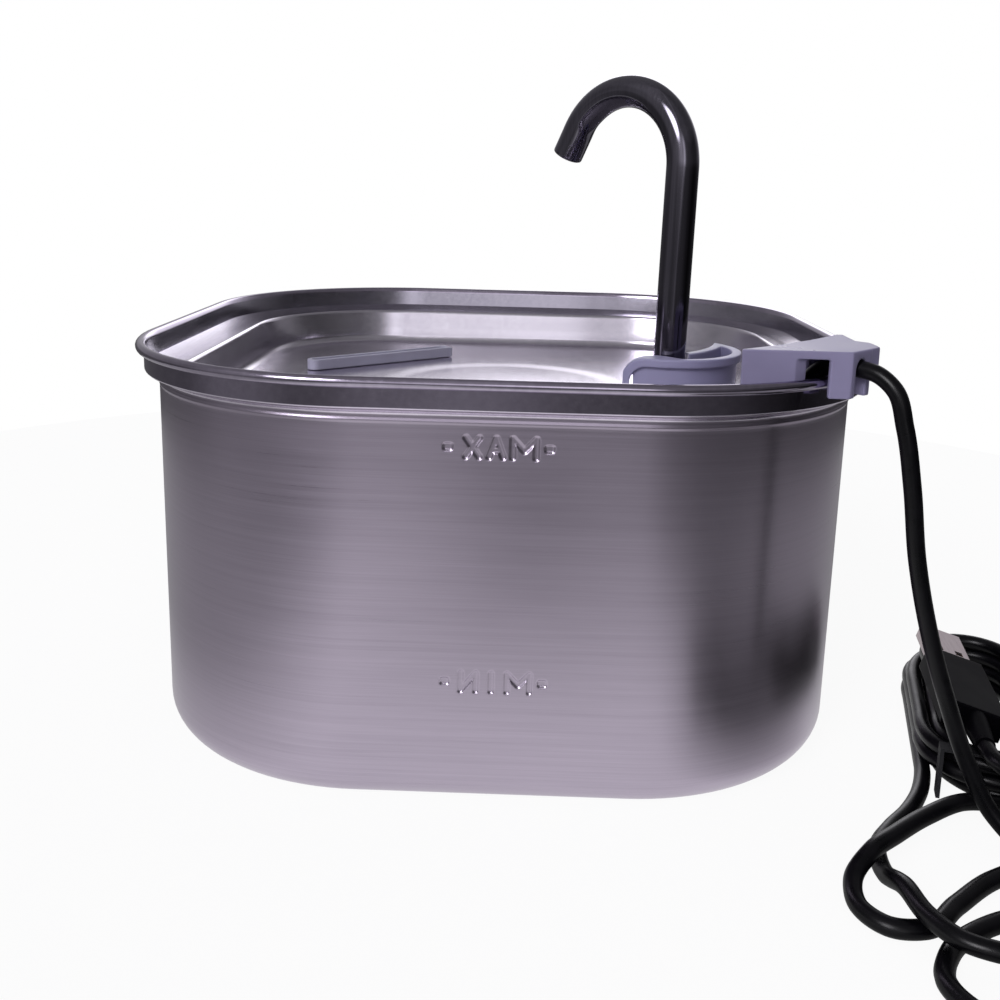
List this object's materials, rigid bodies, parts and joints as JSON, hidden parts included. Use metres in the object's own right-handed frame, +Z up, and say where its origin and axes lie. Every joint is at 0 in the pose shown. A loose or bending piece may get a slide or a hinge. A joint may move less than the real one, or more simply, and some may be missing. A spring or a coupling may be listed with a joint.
{
  "type": "pet water fountain",
  "caption": "Square steel bowl with a drinking tray, a swan-neck faucet over a submersible pump, a corner cord clip and a low-voltage lead.",
  "frame": {"origin": "centre of the bowl's underside", "axes": "+Z up; +X right and +Y back as seen from the front; the pump corner is at +X, -Y"},
  "size_m": [0.2716, 0.2751, 0.1879],
  "materials": {
    "steel_brushed": "brushed",
    "steel_polished": "mirror-polished",
    "tube_steel": "polished",
    "lavender_silicone": "satin",
    "lavender_plastic": "glossy",
    "grey_plastic": "satin",
    "basket_plastic": "satin",
    "foam": "open-cell foam",
    "carbon": "granules in a pouch",
    "clear_silicone": "translucent",
    "pump_plastic": "satin",
    "dark_foam": "open-cell foam",
    "impeller_plastic": "moulded",
    "ferrite": "sintered",
    "ceramic_shaft": "ground",
    "black_rubber": "matt",
    "lamination": "stamped sheets",
    "copper": "enamelled wire",
    "board": "solder mask",
    "cord_black": "satin",
    "plug_black": "satin",
    "plug_steel": "satin",
    "tongue_white": "satin",
    "gold": "plated"
  },
  "bodies": {
    "bowl_body": {"bowl": "steel_brushed", "outlet_adaptor": "clear_silicone", "pump_housing": "pump_plastic", "rotor_shaft": "ceramic_shaft", "shaft_bushes": "black_rubber", "stator_core": "lamination", "coil_windings": "copper", "driver_board": "board", "rear_cap": "pump_plastic", "suction_cups": "black_rubber", "cord_gland": "black_rubber", "tank_cord": "cord_black", "cord": "cord_black", "cord_hank": "cord_black", "cord_tie": "plug_black", "plug_body": "plug_black", "plug_shell": "plug_steel", "plug_tongue": "tongue_white", "plug_contacts": "gold", "plug_strain_relief": "plug_black"},
    "tray_body": {"drinking_tray": "steel_polished", "pump_hood": "lavender_silicone", "filter_basket": "basket_plastic", "filter_foam": "foam", "carbon_pack": "carbon"},
    "drain_cover_body": {"drain_cover": "grey_plastic"},
    "clip_body": {"cable_clip": "lavender_plastic"},
    "faucet_body": {"faucet_tube": "tube_steel"},
    "impeller_body": {"impeller": "impeller_plastic", "rotor_magnet": "ferrite"},
    "pump_cover_body": {"pump_cover": "pump_plastic", "intake_foam": "dark_foam"}
  },
  "joints": [
    {"name": "tray_lift", "type": "slide", "parent": "bowl_body", "child": "tray_body", "axis": [0, 0, 1], "range_m": [0, 0.035]},
    {"name": "clip_lift", "type": "slide", "parent": "tray_body", "child": "clip_body", "axis": [0, 0, 1], "range_m": [0, 0.02]},
    {"name": "drain_cover_lift", "type": "slide", "parent": "tray_body", "child": "drain_cover_body", "axis": [0, 0, 1], "range_m": [0, 0.015]},
    {"name": "faucet_turn", "type": "hinge", "parent": "bowl_body", "child": "faucet_body", "pos_m": [0.0461, -0.0461, 0.0525], "axis": [0.0175, 0, 0.9998], "range_deg": [-75, 75]},
    {"name": "impeller_spin", "type": "hinge", "parent": "bowl_body", "child": "impeller_body", "pos_m": [0.0495, -0.0495, 0.024], "axis": [0.7071, -0.7071, 0], "continuous": true},
    {"name": "pump_cover_off", "type": "slide", "parent": "bowl_body", "child": "pump_cover_body", "axis": [-0.7071, 0.7071, 0], "range_m": [0, 0.01]}
  ]
}
